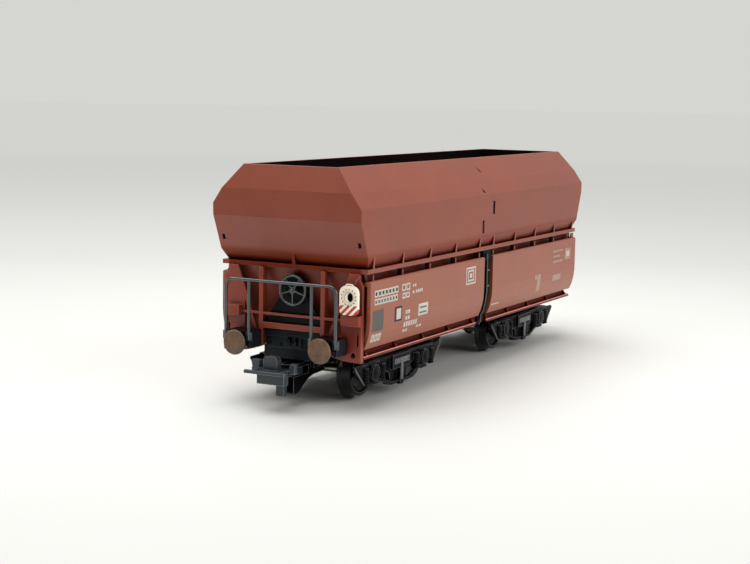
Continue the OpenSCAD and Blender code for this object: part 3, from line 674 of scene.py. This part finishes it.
# --------------------------------------------------------------------- bogies
for en, sx in ENDS:
    body = "bogie_" + en
    px = sx * 35.2
    springs, caps, gear = Shape(), Shape(), Shape()
    for sn, sy in SIDES:
        for a in (-11.9, 11.9):
            ax = px + a
            # axlebox cover with its bolts and the lip over it
            prof = [(0, 14.0 - 12.3), (0.55, 1.68), (1.05, 1.55), (1.3, 1.3), (1.36, 1.0), (1.75, 0.95), (1.85, 0.8), (1.85, -0.05), (0, -0.05)]
            prof = [(r, 12.35 + d * 0.62) for r, d in prof]
            caps.lathe(prof, (ax, 0, AZ), (0, sy, 0), 36)
            for q in range(4):
                t = math.radians(45 + 90 * q)
                caps.dome((ax + 1.55 * math.cos(t), sy * 12.94, AZ + 1.55 * math.sin(t)), (0, sy, 0), 0.2, 0.18, 0, 8)
            caps.box((ax - 2.3, min(sy * 12.3, sy * 12.95), AZ + 1.75), (ax + 2.3, max(sy * 12.3, sy * 12.95), AZ + 2.25), 0.12)
            caps.box((ax - 1.5, min(sy * 12.3, sy * 12.85), AZ - 2.6), (ax + 1.5, max(sy * 12.3, sy * 12.85), AZ - 1.9), 0.12)
            # coil springs either side
            for d in (-3.6, 3.6):
                c = Vector((ax + d, sy * 12.4, 0))
                turns, z0, z1 = 5, 4.45, 7.4
                pts = [c + Vector((0.82 * math.cos(t), 0.82 * math.sin(t), z0 + (z1 - z0) * t / (2 * math.pi * turns)))
                       for t in (2 * math.pi * turns * i / (turns * 14) for i in range(turns * 14 + 1))]
                springs.tube(pts, 0.2, 6)
                springs.lathe([(0, 4.15), (0.95, 4.15), (1.05, 4.25), (1.05, 4.4), (0.95, 4.48), (0, 4.48)], (c.x, c.y, 0), (0, 0, 1), 20)
        # centre plate, its stem and the lower truss bars
        yo = lambda v: sy * v
        y0, y1 = sorted((yo(13.15), yo(13.42)))
        gear.box((px - 3.6, y0, 6.6), (px + 3.6, y1, 7.8), 0.1, 1)
        gear.box((px - 0.5, y0, 2.9), (px + 0.5, y1, 6.65), 0.1, 1)
        for xx in (-3, -1, 1, 3):
            gear.dome((px + xx, yo(13.42), 7.2), (0, sy, 0), 0.2, 0.14, 0, 8)
        y0, y1 = sorted((yo(12.3), yo(13.0)))
        gear.prism([(px - 9.6, 4.5), (px - 8.9, 4.5), (px - 4.2, 2.9), (px + 4.2, 2.9), (px + 8.9, 4.5), (px + 9.6, 4.5),
                    (px + 9.6, 4.1), (px + 4.4, 2.3), (px - 4.4, 2.3), (px - 9.6, 4.1)], 1, y0, y1, 0.1)
        y0, y1 = sorted((yo(12.2), yo(12.75)))
        gear.box((px - 16.6, y0, 8.2), (px + 16.6, y1, 8.68), 0.1)
        for xx in (-15.8, -8.0, -5.4, 5.4, 8.0, 15.8):
            gear.dome((px + xx, yo(12.42), 7.6), (0, sy, 0), 0.24, 0.2, 0, 8)
        # raked ends of the side frame with a light grey rib along the rake as painted highlight
        for a in (-1, 1):
            y0, y1 = sorted((yo(12.1), yo(12.7)))
            gear.prism([(px + a * 14.4, 8.45), (px + a * 20.4, 8.45), (px + a * 20.3, 7.9), (px + a * 16.3, 3.9), (px + a * 15.2, 3.9), (px + a * 16.6, 6.6), (px + a * 14.4, 6.9)],
                       1, y0, y1, 0.1)
            gear.tube([(px + a * 20.2, yo(12.72), 8.2), (px + a * 20.0, yo(12.72), 7.75), (px + a * 16.2, yo(12.72), 4.05)], 0.16, 8, 1)
        # brake hangers and blocks beside the treads, on the inner sides of the wheels
        for a in (-1, 1):
            bx = px + a * (11.9 - 6.15)
            y0, y1 = sorted((yo(8.2), yo(9.3)))
            gear.prism([(bx - a * 0.1, 8.4), (bx - a * 0.9, 8.4), (bx - a * 1.0, 5.0), (bx - a * 0.6, 4.0), (bx + a * 0.15, 3.6), (bx + a * 0.05, 6.0)],
                       1, y0, y1, 0.08)
    for a in (-1, 1):
        bx = px + a * 5.1
        gear.tube([(bx, -8.6, 5.0), (bx, 8.6, 5.0)], 0.3, 10)
    springs.done("springs_" + en, [SPRING], body, slot="black_plastic", sharp=50)
    caps.done("axlebox_covers_" + en, [BOGIE], body, slot="black_plastic")
    gear.done("bogie_gear_" + en, [BOGIE, PLATE], body, slot="black_plastic")

# ------------------------------------------------------------ lock rod trim
for sn, sy in SIDES:
    s = Shape()
    path = [(27.6, 17.45), (25.6, 17.5), (18.5, 17.5), (16, 17.2), (14, 16.7), (12.9, 16.1), (11.2, 16.0), (10.6, 15.6)]
    # the light grey rod and ticks down the band's face stand in for the glint on its web: painted highlight
    s.tube([(0.1, sy * y, z) for z, y in path], 0.2, 8, 1)
    for z in (19.9, 23.6):
        y0, y1 = sorted((sy * 17.25, sy * 17.72))
        s.box((-0.3, y0, z - 0.2), (1.1, y1, z + 0.2), 0.08, 1)
    y0, y1 = sorted((sy * 17.15, sy * 17.45))
    s.box((-1.4, y0, 26.0), (2.6, y1, 27.3), 0.1, 0)
    for xx in (-0.9, 2.1):
        s.dome((xx, sy * 17.45, 26.65), (0, sy, 0), 0.26, 0.18, 0, 8)
    s.done("lock_bar_" + sn, [BLACK, GREY], "wagon", slot="black_plastic")

# --------------------------------------------------------- rivets of the ends
for en, sx in ENDS:
    s = Shape()
    for sy in (-1, 1):
        for z in (12.4, 14.5):
            s.dome((sx * 58.6, sy * 3.2, z), (sx, 0, 0), 0.28, 0.2, 0, 8)
            s.dome((sx * 58.6, sy * 5.8, z), (sx, 0, 0), 0.28, 0.2, 0, 8)
        for yy in (7.9, 12.3):
            for z in (12.4, 14.7):
                s.dome((sx * 64.2, sy * yy, z), (sx, 0, 0), 0.2, 0.15, 0, 8)
    y = 0
    s.tube([(sx * 59.1, -1.0, 13.9), (sx * 60.3, -1.0, 13.6), (sx * 60.6, 0.0, 12.8), (sx * 60.3, 1.0, 13.6), (sx * 59.1, 1.0, 13.9)], 0.25, 8)
    s.done("headstock_rivets_" + en, [BLACK], "wagon", slot="black_plastic")


# --------------------------------------------------------------------- stage
def floor_mat():
    m, nt, b, co = new_mat("floor_pale")
    o = co.outputs["Object"]
    n = noise(nt, o, 9, 3)
    c = ramp(nt, n, [(0.3, srgb(221, 221, 218)), (0.7, srgb(225, 225, 222))])
    nt.links.new(c, b.inputs["Base Color"])
    b.inputs["Roughness"].default_value = 0.6
    b.inputs["Specular IOR Level"].default_value = 0.15
    # far away the floor becomes the backdrop's tone, so there is no horizon line
    ln = nt.nodes.new("ShaderNodeVectorMath"); ln.operation = "LENGTH"
    nt.links.new(o, ln.inputs[0])
    d = math_n(nt, "MULTIPLY", ln.outputs["Value"], 1 / 1.2)
    f = ramp(nt, d, [(0.05, grey(0)), (0.12, grey(0.25)), (0.22, grey(0.56)), (0.44, grey(0.78)), (0.88, grey(0.9)), (1.0, grey(1))])
    em = nt.nodes.new("ShaderNodeEmission")
    em.inputs[0].default_value = srgb(211, 211, 207)
    mx = nt.nodes.new("ShaderNodeMixShader")
    out = [x for x in nt.nodes if x.type == "OUTPUT_MATERIAL"][0]
    nt.links.new(f, mx.inputs[0])
    nt.links.new(b.outputs[0], mx.inputs[1])
    nt.links.new(em.outputs[0], mx.inputs[2])
    nt.links.new(mx.outputs[0], out.inputs[0])
    return m


def disc(name, r, z, n=96):
    me = bpy.data.meshes.new(name)
    vs = [(0, 0, z)] + [(r * math.cos(2 * math.pi * i / n), r * math.sin(2 * math.pi * i / n), z) for i in range(n)]
    me.from_pydata(vs, [], [(0, 1 + i, 1 + (i + 1) % n) for i in range(n)])
    o = bpy.data.objects.new(name, me)
    bpy.context.collection.objects.link(o)
    return o


floor = disc("floor", 6.0, 0.0)
floor.data.materials.append(floor_mat())

w = bpy.data.worlds.new("studio")
bpy.context.scene.world = w
w.use_nodes = True
wn = w.node_tree
bg = wn.nodes["Background"]
# studio shell: pale behind the wagon, falling off towards the room in front of its brake end
wc = wn.nodes.new("ShaderNodeTexCoord")
wd = vdot(wn, wc.outputs["Generated"], (0.93, 0.28, -0.2))
wr = ramp(wn, math_n(wn, "MULTIPLY_ADD", wd, 0.5, 0.5), [(0.05, grey(0.2)), (0.3, grey(0.26)), (0.52, grey(0.75)), (0.66, grey(1)), (1, grey(1))])
wm = mixc(wn, 1.0, srgb(213, 213, 209), wr, "MULTIPLY")
wn.links.new(wm, bg.inputs[0])
bg.inputs[1].default_value = 1.0


def area(name, loc, target, size, power, color=(1, 1, 1)):
    d = bpy.data.lights.new(name, "AREA")
    d.shape = "RECTANGLE"
    d.size, d.size_y = size
    d.energy = power
    d.color = color
    o = bpy.data.objects.new(name, d)
    o.location = loc
    v = Vector(target) - Vector(loc)
    o.rotation_euler = v.to_track_quat("-Z", "Y").to_euler()
    bpy.context.collection.objects.link(o)
    return o


area("key_top", (-0.05, 0.18, 0.66), (0, 0, 0.02), (0.95, 0.75), 7.0)
area("key_side", (-0.08, -0.75, 0.38), (-0.02, 0, 0.03), (0.7, 0.55), 3.3)

# -------------------------------------------------------------------- camera
P = dict(x=-321.833, y=-156.521, z=64.635, yaw=27.657, pitch=-7.222, roll=1.036, f=1497.56)
cd = bpy.data.cameras.new("cam")
cam = bpy.data.objects.new("cam", cd)
bpy.context.collection.objects.link(cam)
yw, pt, rl = (math.radians(P[k]) for k in ("yaw", "pitch", "roll"))
fwd = Vector((math.cos(yw) * math.cos(pt), math.sin(yw) * math.cos(pt), math.sin(pt)))
right = fwd.cross(Vector((0, 0, 1))).normalized()
up = right.cross(fwd)
r2 = right * math.cos(rl) + up * math.sin(rl)
u2 = -right * math.sin(rl) + up * math.cos(rl)
mw = Matrix(((r2.x, u2.x, -fwd.x, P["x"] * MM), (r2.y, u2.y, -fwd.y, P["y"] * MM),
             (r2.z, u2.z, -fwd.z, P["z"] * MM), (0, 0, 0, 1)))
cam.matrix_world = mw
cd.sensor_width = 36.0
cd.lens = P["f"] / 750.0 * 36.0
cd.clip_start = 0.005
cd.clip_end = 50
bpy.context.scene.camera = cam
bpy.context.scene.view_settings.view_transform = "Standard"
